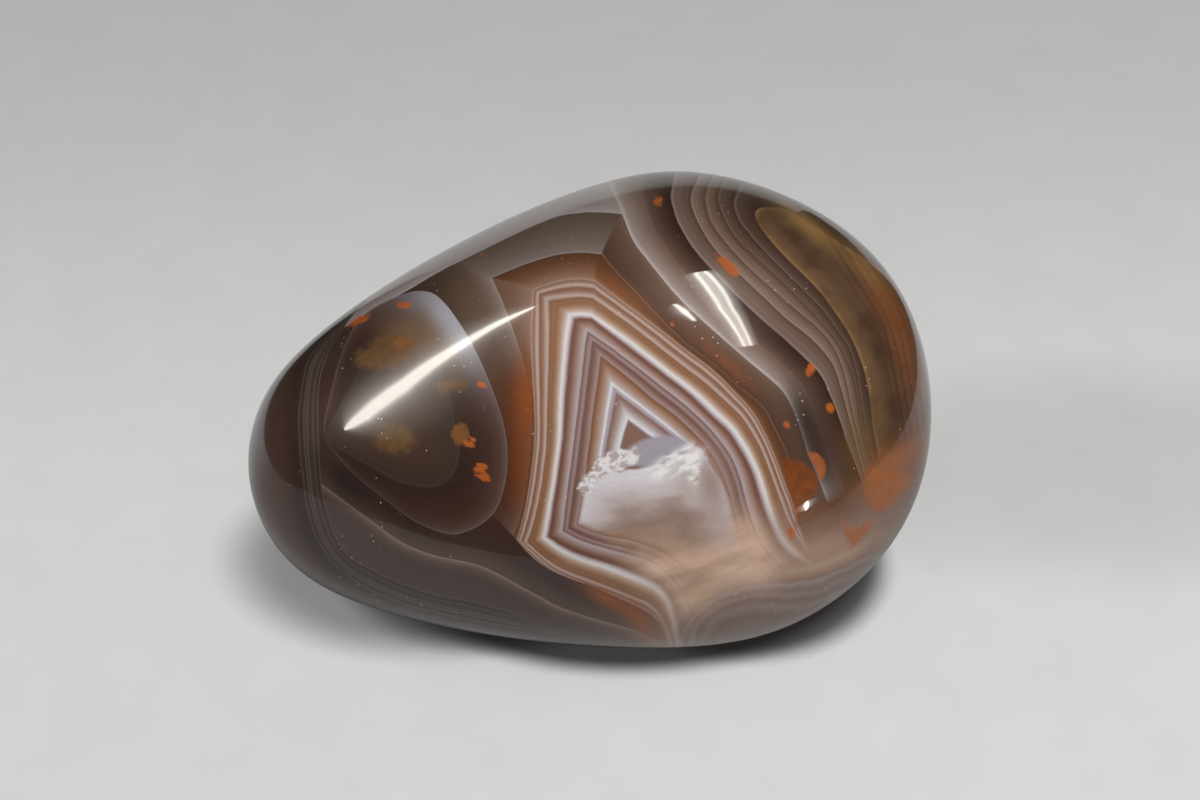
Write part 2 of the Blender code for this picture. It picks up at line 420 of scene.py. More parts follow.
# Colours by level, as a screen shows them. Most began as readings from the photo, band by band,
# and were then adjusted.
NEST_BANDS: Stops = [
    (-4.2, (104, 96, 92)), (-3.65, (134, 127, 124)), (-3.58, (88, 72, 60)), (-3.2, (94, 78, 66)),
    (-2.2, (108, 94, 86)), (-1.68, (120, 106, 99)), (-1.6, (140, 130, 124)), (-1.56, (84, 52, 34)),
    (-1.2, (92, 60, 40)), (-0.7, (108, 76, 55)), (-0.2, (128, 98, 80)), (-0.05, (134, 106, 90)),
    (0.03, (156, 132, 120)), (0.12, (124, 90, 72)), (0.24, (146, 118, 104)),
    (0.35, (176, 156, 148)), (0.44, (160, 132, 118)), (0.53, (122, 84, 62)), (0.72, (137, 102, 83)),
    (0.86, (160, 132, 120)), (0.96, (174, 156, 146)), (1.06, (158, 132, 118)),
    (1.15, (122, 84, 62)), (1.32, (136, 98, 72)), (1.45, (130, 90, 64)), (1.62, (142, 106, 80)),
    (1.82, (164, 134, 112)), (2.02, (188, 170, 160)), (2.14, (210, 204, 202)),
    (2.28, (200, 193, 194)), (2.42, (170, 154, 155)), (2.54, (128, 98, 92)), (2.64, (104, 70, 58)),
    (2.85, (118, 84, 70)), (3.1, (142, 112, 102)), (3.35, (160, 138, 134)), (3.54, (170, 154, 154)),
    (3.62, (146, 126, 126)), (3.69, (110, 83, 80)), (3.8, (128, 102, 98)), (3.98, (149, 126, 124)),
    (4.1, (128, 98, 92)), (4.2, (106, 76, 67)), (4.4, (118, 88, 78)), (4.62, (138, 110, 104)),
    (4.8, (152, 128, 122)), (4.86, (132, 100, 86)), (4.93, (114, 78, 58)), (5.15, (134, 96, 72)),
    (5.45, (152, 120, 102)), (5.75, (166, 144, 136)), (5.92, (176, 162, 158)),
    (6.02, (198, 192, 192)), (6.12, (206, 203, 205)), (6.22, (168, 156, 162)),
    (6.36, (156, 142, 146)), (6.5, (122, 95, 88)), (6.62, (134, 106, 98)), (6.9, (160, 141, 134)),
    (7.1, (182, 173, 171)), (7.38, (206, 203, 209)), (7.46, (160, 148, 150)), (7.6, (120, 94, 86)),
    (8.2, (126, 94, 76)),
]
SIDE_BANDS: Stops = [
    (-7.0, (66, 50, 42)), (-4.6, (74, 57, 47)), (-3.2, (84, 68, 58)), (-2.2, (112, 96, 87)),
    (-1.7, (128, 114, 106)), (-1.6, (148, 136, 128)), (-1.54, (104, 76, 60)), (-0.8, (116, 88, 72)),
    (-0.1, (136, 108, 94)), (0.0, (150, 124, 112)),
]
OUTSIDE_BANDS: Stops = [
    (-5.0, (94, 73, 60)), (-3.6, (111, 88, 76)), (-3.2, (98, 75, 62)), (-2.4, (85, 62, 50)),
    (-1.72, (77, 54, 41)), (-1.62, (111, 84, 69)), (-1.54, (85, 55, 38)), (-0.9, (92, 58, 38)),
    (-0.35, (109, 69, 43)), (-0.08, (132, 96, 74)), (0.0, (158, 134, 122)),
]
# The grey shell beyond the nest's outermost top line, painted paler towards the stone's edge as a
# reflection of the pale table.
SHELL_AND_REFLECTION_BANDS: Stops = [
    (-6.5, (161, 150, 145)), (-5.0, (150, 139, 134)), (-4.2, (143, 131, 127)),
    (-3.6, (159, 148, 145)),
]
VEIL_BANDS: Stops = [
    (-0.6, (214, 209, 211)), (0.3, (204, 197, 202)), (1.5, (192, 182, 184)), (2.6, (178, 163, 160)),
    (3.3, (156, 137, 128)), (4.4, (140, 116, 104)), (5.6, (158, 132, 115)), (7.0, (172, 144, 123)),
    (8.2, (158, 128, 108)), (10.0, (140, 114, 100)),
]
SWIRL_BANDS: Stops = [
    (-4.0, (152, 122, 104)), (-2.6, (166, 136, 115)), (-1.5, (154, 125, 105)),
    (-0.9, (166, 138, 118)), (-0.35, (146, 117, 101)), (-0.1, (130, 107, 98)),
    (0.1, (144, 127, 122)), (0.5, (124, 103, 95)), (0.9, (136, 117, 111)), (1.3, (118, 96, 87)),
    (1.8, (134, 114, 108)), (2.4, (116, 94, 85)), (3.2, (126, 106, 98)), (4.2, (112, 94, 88)),
]
FAN_BANDS: Stops = [
    (-0.02, (116, 102, 94)), (0.0, (181, 171, 169)), (0.03, (168, 156, 150)),
    (0.1, (143, 128, 120)), (0.3, (125, 105, 94)), (0.45, (110, 87, 76)), (0.48, (112, 92, 82)),
    (0.52, (94, 73, 62)), (0.75, (72, 52, 41)), (0.97, (52, 34, 25)), (1.0, (56, 38, 29)),
    (1.03, (137, 119, 111)), (1.15, (114, 94, 84)), (1.5, (106, 85, 74)), (1.97, (85, 65, 52)),
    (2.02, (146, 125, 115)), (2.12, (125, 103, 92)), (2.45, (116, 94, 81)), (2.97, (85, 65, 53)),
    (3.03, (137, 115, 102)), (3.12, (116, 94, 80)), (3.5, (106, 84, 69)), (3.96, (72, 54, 43)),
    (4.02, (112, 92, 79)), (4.12, (92, 72, 59)), (4.5, (85, 65, 53)), (4.96, (62, 46, 37)),
    (5.03, (104, 85, 74)), (5.2, (80, 62, 52)), (5.95, (62, 45, 35)),
]
TEAR_BANDS: Stops = [
    (0.0, (92, 71, 52)), (0.06, (128, 97, 67)), (0.35, (102, 77, 53)), (0.8, (98, 73, 52)),
    (1.5, (84, 63, 47)), (2.6, (86, 63, 48)), (5.0, (98, 70, 54)),
]
TIP_BANDS: Stops = [
    (-3.0, (84, 62, 54)), (-1.5, (76, 54, 46)), (-0.6, (60, 44, 39)), (-0.05, (58, 45, 41)),
    (0.0, (92, 80, 74)), (0.06, (62, 50, 45)), (0.2, (64, 50, 45)), (0.28, (94, 80, 74)),
    (0.34, (62, 48, 44)), (0.42, (92, 78, 71)), (0.52, (66, 53, 48)), (0.68, (68, 56, 50)),
    (0.74, (86, 74, 68)), (0.8, (66, 54, 49)), (0.95, (64, 52, 48)), (1.0, (98, 86, 80)),
    (1.1, (54, 45, 42)),
]
EYE_BANDS: Stops = [
    (-0.2, (60, 46, 40)), (-0.08, (46, 34, 30)), (0.0, (108, 98, 96)), (0.1, (88, 70, 63)),
    (0.6, (76, 54, 47)), (1.6, (62, 42, 36)), (3.4, (52, 35, 29)), (4.0, (52, 37, 31)),
    (4.06, (67, 52, 46)), (4.3, (59, 45, 39)), (5.6, (63, 47, 39)), (7.5, (65, 48, 39)),
]
LOW_BANDS: Stops = [
    (-3.0, (81, 66, 60)), (-1.0, (77, 61, 56)), (-0.45, (90, 72, 65)), (-0.1, (116, 94, 84)),
    (-0.02, (141, 122, 115)), (0.05, (86, 68, 61)), (0.5, (81, 64, 57)), (1.6, (64, 47, 42)),
    (3.0, (62, 42, 36)),
]


@dataclass(frozen=True)
class Lobe:
    """One of the balls under the skin, in millimetres."""

    centre: Place
    radius: float


@dataclass
class StoneBody:
    """The stone's form: the skin over its lobes and the worn flat under it.

    The lobes were fitted to the stone's outline in the photo, in half-millimetre steps.
    """

    lobes: tuple[Lobe, ...] = (
        Lobe((-18.0, -3.0, -2.5), 11.5),
        Lobe((15.5, -5.5, 0.0), 9.0),
        Lobe((15.0, 1.5, 7.0), 8.5),
        Lobe((8.0, -9.0, -3.5), 9.5),
        Lobe((4.0, 15.5, 1.0), 9.5),
        Lobe((10.5, 11.0, -5.0), 9.5),
    )
    skin_blend: float = 2.4
    flat_depth: float = 0.20
    divisions: int = 6
    shown_from: Place = (0.0, -cos(VIEW_TILT), sin(VIEW_TILT))
    shown_cuts: int = 3

    def skin(self, facings: np.ndarray) -> np.ndarray:
        """The skin's points that face in the given directions.

        Args:
            facings: unit vectors, one row each.

        Returns:
            The points in millimetres, before the stone is stood on its flat.
        """
        centres = np.array([lobe.centre for lobe in self.lobes])
        radii = np.array([lobe.radius for lobe in self.lobes])
        reaches = facings @ centres.T + radii
        furthest = reaches.max(axis=1)
        pulls = np.exp((reaches - furthest[:, None]) / self.skin_blend)
        total = pulls.sum(axis=1)
        reach = furthest + self.skin_blend * np.log(total)
        cores = (pulls / total[:, None]) @ centres
        return cores + facings * (reach - (cores * facings).sum(axis=1))[:, None]

    def ball(self) -> bmesh.types.BMesh:
        """A ball of triangles, finer on the shown side, drawn out into the stone's skin.

        Returns:
            The bmesh, in metres, with each point's facing kept in a layer.
        """
        bm = bmesh.new()
        bmesh.ops.create_icosphere(bm, subdivisions=self.divisions, radius=1.0)
        towards = Vector(self.shown_from)
        shown = {edge for face in bm.faces if face.normal.dot(towards) > 0.0 for edge in face.edges}
        bmesh.ops.subdivide_edges(bm, edges=list(shown), cuts=self.shown_cuts, use_grid_fill=True)
        bmesh.ops.triangulate(bm, faces=bm.faces[:])
        kept = bm.verts.layers.float_vector.new("facing")
        facings = np.array([vert.co for vert in bm.verts])
        facings /= np.linalg.norm(facings, axis=1)[:, None]
        for vert, facing, place in zip(bm.verts, facings, self.skin(facings) * MM):
            vert[kept] = facing
            vert.co = place
        return bm

    def wear_flat(self, bm: bmesh.types.BMesh) -> None:
        """Cut the worn spot that the stone rests on, and close it.

        Args:
            bm: the stone's skin, in metres.
        """
        level = min(vert.co.z for vert in bm.verts) + self.flat_depth * MM
        cut = bmesh.ops.bisect_plane(
            bm,
            geom=bm.verts[:] + bm.edges[:] + bm.faces[:],
            dist=0.00001 * MM,
            plane_co=(0.0, 0.0, level),
            plane_no=(0.0, 0.0, -1.0),
            clear_outer=True,
        )
        rim = [edge for edge in cut["geom_cut"] if isinstance(edge, bmesh.types.BMEdge)]
        filled = bmesh.ops.holes_fill(bm, edges=rim, sides=0)
        bmesh.ops.triangulate(bm, faces=filled["faces"])

    def stand(self, bm: bmesh.types.BMesh) -> None:
        """Put the middle of the stone's footprint over the origin, on the ground.

        Args:
            bm: the stone, in metres.
        """
        places = np.array([vert.co for vert in bm.verts])
        low = places.min(axis=0)
        middle = (low + places.max(axis=0)) / 2
        shift = Vector((-middle[0], -middle[1], -low[2]))
        bmesh.ops.transform(bm, matrix=Matrix.Translation(shift), verts=bm.verts)

    def build(self) -> bpy.types.Object:
        """Make the stone's object.

        Returns:
            The stone at its place in the frame, with smooth shading.
        """
        bm = self.ball()
        self.wear_flat(bm)
        self.stand(bm)
        bmesh.ops.recalc_face_normals(bm, faces=bm.faces)
        mesh = finished(bm, "banded_stone")
        mesh.shade_smooth()
        facings = np.zeros(len(mesh.vertices) * 3)
        mesh.attributes["facing"].data.foreach_get("vector", facings)
        mesh.normals_split_custom_set_from_vertices(facings.reshape(-1, 3).tolist())
        log.info("banded_stone: %d triangles", len(mesh.polygons))
        return placed("banded_stone", mesh)


@dataclass(frozen=True)
class Spot:
    """An oval place in the drawing: a soft stain or a sharp fleck."""

    u: float
    v: float
    along: float
    across: float
    turn: float = 0.0
    strength: float = 1.0

    def span(self, spots: np.ndarray) -> np.ndarray:
        """How far out spots lie from the oval's middle.

        Args:
            spots: their u and v, one row each.

        Returns:
            The distances as shares of the oval's own size.
        """
        away_u = spots[:, 0] - self.u
        away_v = spots[:, 1] - self.v
        turn = radians(self.turn)
        along = (away_u * cos(turn) + away_v * sin(turn)) / self.along
        across = (away_v * cos(turn) - away_u * sin(turn)) / self.across
        return np.hypot(along, across)


@dataclass
class Drawing:
    """How the stone's banding as drawn is carried onto the skin."""

    viewpoint: Viewpoint
    turn_behind: float = radians(70.0)
    shift_behind: Point = (4.0, -3.0)
    fleck_reach: float = 0.6
    fleck_depth: float = 3.0
    no_fleck: float = -9.0

    def project(self, places: np.ndarray, facings: np.ndarray) -> tuple[np.ndarray, np.ndarray]:
        """Carry points of the skin into the drawing.

        Args:
            places: the points, in metres.
            facings: the skin's outward directions there.

        Returns:
            The points' u and v in millimetres, and their distance from the camera.
        """
        view = self.viewpoint
        away = places - view.place
        depth = -(away @ view.back)
        flat = np.column_stack([away[:, 0], away @ view.up]) / depth[:, None]
        flat *= view.distance / MM
        sight = away / np.linalg.norm(away, axis=1)[:, None]
        hidden = eased((facings * sight).sum(axis=1), 0.0, 1.0)
        turn = hidden * self.turn_behind
        u = flat[:, 0] * np.cos(turn) - flat[:, 1] * np.sin(turn) + hidden * self.shift_behind[0]
        v = flat[:, 0] * np.sin(turn) + flat[:, 1] * np.cos(turn) + hidden * self.shift_behind[1]
        return np.column_stack([u, v]), depth / MM

    def stain(self, ovals: tuple[Spot, ...], spots: np.ndarray) -> np.ndarray:
        """Soft coverage where ovals lie.

        Args:
            ovals: the stain's ovals.
            spots: the points' u and v.

        Returns:
            The coverage, 0 to 1.
        """
        clear = np.ones(len(spots))
        for oval in ovals:
            clear *= 1.0 - oval.strength * np.exp(-oval.span(spots) ** 2)
        return 1.0 - clear

    def fleck(self, ovals: tuple[Spot, ...], spots: np.ndarray, depth: np.ndarray) -> np.ndarray:
        """Distance into sharp flecks. Each sits on the near skin only, so none smears over the edge.

        Args:
            ovals: the flecks.
            spots: the points' u and v.
            depth: the points' distances from the camera.

        Returns:
            The distance in millimetres, negative outside the flecks.
        """
        inside = np.full(len(spots), self.no_fleck)
        for oval in ovals:
            near = np.hypot(spots[:, 0] - oval.u, spots[:, 1] - oval.v) < self.fleck_reach
            own_depth = depth[near].min() if near.any() else depth.min()
            behind = np.maximum(np.abs(depth - own_depth) - self.fleck_depth, 0.0)
            reach = (1.0 - oval.span(spots)) * min(oval.along, oval.across) - behind
            inside = np.maximum(inside, reach)
        return inside


# What is kept on the mesh, by name, and the colours of what is laid over the bands.
EYE: Family = [(0.0, EYE_RIM), (4.0, EYE_CORE)]
FAMILIES: dict[str, Family] = {
    "left": NEST_LEFT,
    "top": NEST_TOP,
    "right": NEST_RIGHT,
    "low": NEST_LOW,
    "fan": FAN,
    "tip": TIP,
    "eye": EYE,
}
SINGLES: dict[str, Contour] = {
    "tear": TEAR,
    "stripes": STRIPES,
    "zone": MIRRORED_TABLE_EDGE,
    "curve": LOW_CURVE,
    "veil": VEIL,
    "swirl": SWIRL,
    "rust_patch": RUST_PATCH,
    "crescent": CRESCENT,
    "high_patch": HIGH_PATCH,
    "low_patch": LOW_PATCH,
}
STAINS: dict[str, tuple[Spot, ...]] = {
    "ember": (Spot(-7.6, -5.5, 3.4, 7.5, 0.0, 0.95), Spot(-7.2, 0.5, 2.4, 3.5, 0.0, 0.8)),
    "glow": (Spot(-6.0, 0.3, 0.9, 3.4, 0.0, 0.95), Spot(-6.3, -5.5, 0.9, 4.5, 0.0, 0.5)),
    "haze": (
        Spot(13.5, -16.0, 8.0, 2.6, 12.0, 1.0),
        Spot(18.5, -13.5, 5.5, 2.4, 18.0, 0.95),
        Spot(8.5, -18.3, 3.6, 2.0, 30.0, 0.9),
        Spot(12.0, -12.6, 2.6, 2.2, -50.0, 0.6),
        Spot(13.5, -18.8, 6.0, 2.4, 15.0, 1.0),
        Spot(17.0, -17.0, 4.0, 2.4, 30.0, 0.9),
    ),
    "mist": (
        Spot(4.6, -13.4, 3.4, 1.5, -35.0, 0.7),
        Spot(12.4, -12.0, 1.6, 3.0, 25.0, 0.8),
        Spot(9.4, -13.6, 3.8, 2.0, 12.0, 0.95),
        Spot(7.6, -15.8, 1.6, 2.0, 0.0, 0.7),
    ),
    "dusk": (Spot(9.1, -6.9, 1.5, 3.0, 12.0, 0.92), Spot(15.0, -10.4, 1.2, 2.0, 20.0, 0.5)),
    "gold": (Spot(17.0, 14.4, 3.0, 0.7, -38.0, 0.75), Spot(22.0, 10.6, 3.0, 0.8, -52.0, 0.5)),
    "rust": (
        Spot(24.0, -5.0, 2.6, 1.3, 30.0, 0.75),
        Spot(23.5, 8.0, 2.5, 1.2, -60.0, 0.35),
        Spot(25.0, 4.5, 4.5, 1.0, -78.0, 0.38),
        Spot(3.2, -18.0, 1.7, 0.8, -50.0, 0.9),
        Spot(0.6, -16.3, 2.2, 0.6, -30.0, 0.85),
        Spot(10.2, 3.2, 3.4, 0.4, -42.0, 0.5),
        Spot(2.0, 8.8, 3.0, 0.5, -38.0, 0.4),
    ),
    "olive": (Spot(21.3, -3.6, 1.6, 2.4, -10.0, 0.6),),
    "milk": (Spot(-12.2, 6.6, 4.2, 2.8, -58.0, 1.0),),
    "amber": (Spot(-15.6, 5.2, 2.6, 1.6, -25.0, 0.6), Spot(-10.5, 8.0, 1.6, 2.6, 20.0, 0.25)),
    "shade": (
        Spot(-20.6, -6.9, 3.4, 1.7, -40.0, 0.75),
        Spot(-16.5, -9.4, 3.4, 1.2, -30.0, 0.45),
        Spot(-20.6, 3.2, 1.6, 2.6, -20.0, 0.5),
    ),
    "dark": (
        Spot(16.9, -1.6, 1.3, 3.4, 22.0, 0.85),
        Spot(14.0, 5.5, 3.0, 0.6, -40.0, 0.3),
        Spot(17.9, -4.6, 3.8, 1.3, -70.0, 0.85),
    ),
    "chalcedony": (Spot(4.6, -4.2, 2.6, 1.2, 12.0, 1.0),),
    "quartz": (Spot(1.4, -5.0, 2.2, 1.0, 20.0, 1.0), Spot(-1.0, -6.9, 1.4, 0.6, 58.0, 1.0)),
    "fibre": (Spot(6.1, -5.2, 2.4, 0.9, 28.0, 1.0), Spot(7.6, -5.6, 0.5, 1.6, 8.0, 0.9)),
}
WARMTHS: dict[str, Shade] = {"ember": (72, 40, 22), "glow": (132, 66, 16)}
STAIN_COLOURS: dict[str, Shade] = {
    "dusk": (146, 122, 113),
    "gold": (146, 112, 66),
    "rust": (146, 84, 44),
    "olive": (104, 80, 48),
    "amber": (124, 98, 70),
    "shade": (36, 27, 25),
    "dark": (46, 31, 25),
}
FLECKS: dict[str, tuple[Spot, ...]] = {
    "orange": (
        Spot(-10.7, -3.5, 0.5, 0.6),
        Spot(-9.75, 1.15, 0.45, 0.4),
        Spot(-9.75, -5.6, 0.55, 0.6),
        Spot(-9.6, -6.3, 0.7, 0.35, -20.0),
        Spot(-19.8, 6.5, 0.9, 0.3, 30.0),
        Spot(-16.1, 7.8, 0.7, 0.3, -5.0),
        Spot(10.5, 11.0, 1.3, 0.42, -45.0),
        Spot(4.75, 16.3, 0.35, 0.45),
        Spot(5.75, 6.15, 0.3, 0.3),
        Spot(17.2, 2.5, 0.35, 0.5, -20.0),
        Spot(18.9, -0.65, 0.35, 0.4),
        Spot(-9.7, 12.0, 0.25, 0.25),
        Spot(15.3, -2.0, 0.3, 0.3),
        Spot(15.7, -11.0, 0.5, 0.3, 80.0),
    ),
    "patch": (
        Spot(-17.1, 4.1, 1.8, 1.2, -5.0),
        Spot(-18.6, 3.4, 1.4, 0.9, -5.0),
        Spot(-16.8, -3.2, 1.6, 1.2),
        Spot(-12.9, 1.1, 0.6, 0.65),
        Spot(-11.6, 1.3, 0.65, 0.55),
    ),
    "block": (Spot(-11.45, -2.8, 0.75, 1.0, 8.0), Spot(-16.1, 4.7, 0.9, 0.5, -10.0)),
}
# For each patch: how torn and how soft its edge is, in millimetres, and its dark and light.
PATCHES: dict[str, tuple[float, float, Shade, Shade]] = {
    "patch": (1.3, 0.45, (72, 52, 34), (116, 84, 48)),
    "block": (0.5, 0.1, (98, 60, 32), (138, 92, 48)),
    "orange": (0.55, 0.1, (150, 74, 28), (186, 100, 44)),
    "rust_patch": (0.7, 0.3, (86, 42, 16), (146, 78, 34)),
    "crescent": (0.4, 0.14, (142, 74, 34), (166, 96, 58)),
    "high_patch": (1.2, 0.5, (128, 70, 28), (160, 94, 46)),
    "low_patch": (1.0, 0.3, (138, 76, 36), (162, 98, 58)),
}


class Tint(Enum):
    """Single colours of the stone and the studio, as a screen shows them."""

    RIPPLE = (52, 36, 28)
    CLOUD = (58, 40, 30)
    STRIPE = (66, 42, 28)
    # Painted reflection of the pale table on the lower right, at its line and further in.
    TABLE_REFLECTION_EDGE = (106, 71, 51)
    TABLE_REFLECTION_DEEP = (118, 94, 82)
    MILK_DEEP = (138, 122, 110)
    MILK_RIM = (162, 161, 169)
    WISP_DIM = (156, 125, 104)
    WISP_PALE = (218, 184, 158)
    CHALCEDONY = (152, 144, 152)
    CRYSTAL = (166, 155, 152)
    CELL_WALL = (216, 211, 210)
    FIBRE = (222, 218, 214)
    SPECK = (214, 206, 196)
    FLOOR_DIM = (204, 204, 203)
    FLOOR_PALE = (212, 212, 211)
    # painted shade: the floor darkens further back
    FLOOR_FAR_SHADE = (110, 110, 112)
    FLOOR_SHADE = (28, 26, 25)
    FLOOR_MIRRORED = (0, 0, 0)
    LAMP = (255, 252, 243)
    ROOM_FILL = (205, 205, 205)
    ROOM_MIRRORED = (60, 58, 56)
    ROOM_SEEN = (190, 190, 190)

    @property
    def linear(self) -> Colour:
        """The colour in scene-linear values."""
        return seen(*self.value)


@dataclass(frozen=True)
class Grain:
    """A noise on the stone: its fineness and detail, and the slope and squeeze of its strands."""

    scale: float
    detail: float = 2.0
    slope: float = 0.0
    squeeze: float = 1.0


class Board:
    """Places nodes in one material and joins them."""

    def __init__(self, tree: bpy.types.NodeTree, ledger: Ledger | None = None) -> None:
        """Start on an empty tree.

        Args:
            tree: the material's or the world's nodes.
            ledger: where the drawing's numbers are kept.
        """
        self.tree = tree
        self.tree.nodes.clear()
        self.ledger = ledger
        self.opened: dict[str, list[Socket]] = {}

    def node(self, kind: str, **settings: str) -> bpy.types.Node:
        """Add a node.

        Args:
            kind: the node's type.
            settings: values of its own properties.

        Returns:
            The node.
        """
        made = self.tree.nodes.new(kind)
        for name, value in settings.items():
            setattr(made, name, value)
        return made

    def join(self, value: Value, socket: Socket) -> None:
        """Feed a socket.

        Args:
            value: another socket or a plain value.
            socket: the socket to feed.
        """
        if isinstance(value, Socket):
            self.tree.links.new(value, socket)
        else:
            socket.default_value = value

    def math(self, operation: str, first: Value, second: Value = 0.0, third: Value = 0.0) -> Socket:
        """One sum on numbers.

        Args:
            operation: the Math node's operation.
            first, second, third: sockets or numbers.

        Returns:
            The result's socket.
        """
        made = self.node("ShaderNodeMath", operation=operation)
        for value, socket in zip((first, second, third), made.inputs):
            self.join(value, socket)
        return made.outputs[0]

    def plus(self, first: Value, second: Value) -> Socket:
        """The sum of two numbers."""
        return self.math("ADD", first, second)

    def times(self, first: Value, second: Value) -> Socket:
        """The product of two numbers."""
        return self.math("MULTIPLY", first, second)

    def least(self, first: Value, second: Value) -> Socket:
        """The smaller of two numbers."""
        return self.math("MINIMUM", first, second)

    def under(self, first: Value, second: Value) -> Socket:
        """1 where the first number is under the second, and 0 elsewhere."""
        return self.math("LESS_THAN", first, second)

    def rise(self, value: Value, low: float, high: float, top: float = 1.0) -> Socket:
        """Rise smoothly from 0 to a top.

        Args:
            value: the number that is read.
            low, high: where the rise begins and ends; high may be the smaller one.
            top: the most that comes out.

        Returns:
            The result's socket.
        """
        made = self.node("ShaderNodeMapRange", interpolation_type="SMOOTHSTEP")
        self.join(value, made.inputs["Value"])
        made.inputs["From Min"].default_value = min(low, high)
        made.inputs["From Max"].default_value = max(low, high)
        made.inputs["To Min"].default_value = 0.0 if low < high else top
        made.inputs["To Max"].default_value = top if low < high else 0.0
        return made.outputs["Result"]

    def blend(self, share: Value, below: Value, above: Value, mode: str = "MIX") -> Socket:
        """Lay one colour over another.

        Args:
            share: how much of the upper colour shows.
            below, above: the colours.
            mode: the way of mixing.

        Returns:
            The mixed colour's socket.
        """
        made = self.node("ShaderNodeMix", data_type="RGBA", blend_type=mode)
        for value, index in ((share, 0), (below, 6), (above, 7)):
            self.join(value, made.inputs[index])
        return made.outputs[2]

    def place(self) -> Socket:
        """The object coordinates."""
        return self.node("ShaderNodeTexCoord").outputs["Object"]

    def kept(self, name: str) -> Socket:
        """Read one of the drawing's numbers.

        Args:
            name: its name in the ledger.

        Returns:
            The number's socket.
        """
        attribute, part = self.ledger.place(name)
        if attribute not in self.opened:
            source = self.node("ShaderNodeAttribute", attribute_name=attribute)
            parts = self.node("ShaderNodeSeparateXYZ")
            self.join(source.outputs["Vector"], parts.inputs[0])
            self.opened[attribute] = list(parts.outputs)
        return self.opened[attribute][part]

    def level(self, name: str, wobble: Value = 0.0) -> Socket:
        """Spread a family's levels between its contours.

        Args:
            name: the family's name.
            wobble: a small distance added to every contour's own.

        Returns:
            The level's socket. Past the first and last contour it rises 1 a millimetre.
        """
        family = FAMILIES[name]
        depths = [self.plus(self.kept(f"{name}_{index}"), wobble) for index in range(len(family))]
        steps = [step for step, _ in family]
        total = self.plus(self.least(depths[0], 0.0), steps[0])
        for low, high, outer, inner in zip(steps, steps[1:], depths, depths[1:]):
            gap = self.math("MAXIMUM", self.math("SUBTRACT", outer, inner), 0.0001)
            share = self.math("DIVIDE", outer, gap)
            share.node.use_clamp = True
            total = self.math("MULTIPLY_ADD", share, high - low, total)
        return self.plus(total, self.math("MAXIMUM", depths[-1], 0.0))

    def noise(self, grain: Grain) -> Socket:
        """Noise of about one half, combed into strands where the grain is squeezed.

        Args:
            grain: how fine it is and how it runs.

        Returns:
            The noise's socket.
        """
        made = self.node("ShaderNodeTexNoise")
        made.inputs["Scale"].default_value = grain.scale
        made.inputs["Detail"].default_value = grain.detail
        place = self.place()
        if grain.squeeze < 1.0:
            comb = self.node("ShaderNodeMapping", vector_type="TEXTURE")
            self.join(place, comb.inputs["Vector"])
            comb.inputs["Rotation"].default_value = (0.0, -radians(grain.slope), 0.0)
            comb.inputs["Scale"].default_value = (1.0 / grain.squeeze, 1.0, 1.0)
            place = comb.outputs["Vector"]
        self.join(place, made.inputs["Vector"])
        return made.outputs["Fac"]

    def sway(self, grain: Grain, size: float, middle: float = 0.0) -> Socket:
        """Noise of a given size about a middle."""
        return self.math("MULTIPLY_ADD", self.noise(grain), size, middle - size / 2)

    def bands(self, level: Socket, stops: Stops) -> Socket:
        """Turn a level into bands of colour.

        Args:
            level: the level's socket.
            stops: levels with their colours, rising.

        Returns:
            The colour's socket. Long lists are laid end to end over several ramps.
        """
        colour = None
        for first in range(0, len(stops) - 1, 30):
            part = stops[first : first + 31]
            low, high = part[0][0], part[-1][0]
            spread = self.node("ShaderNodeMapRange")
            self.join(level, spread.inputs["Value"])
            spread.inputs["From Min"].default_value = low
            spread.inputs["From Max"].default_value = high
            ramp = self.node("ShaderNodeValToRGB")
            self.join(spread.outputs["Result"], ramp.inputs["Fac"])
            for index, (stop_level, shade) in enumerate(part):
                at = (stop_level - low) / (high - low)
                if index < 2:
                    stop = ramp.color_ramp.elements[index]
                    stop.position = at
                else:
                    stop = ramp.color_ramp.elements.new(at)
                stop.color = seen(*shade)
            if colour is None:
                colour = ramp.outputs["Color"]
            else:
                past = self.math("GREATER_THAN", level, low)
                colour = self.blend(past, colour, ramp.outputs["Color"])
        return colour


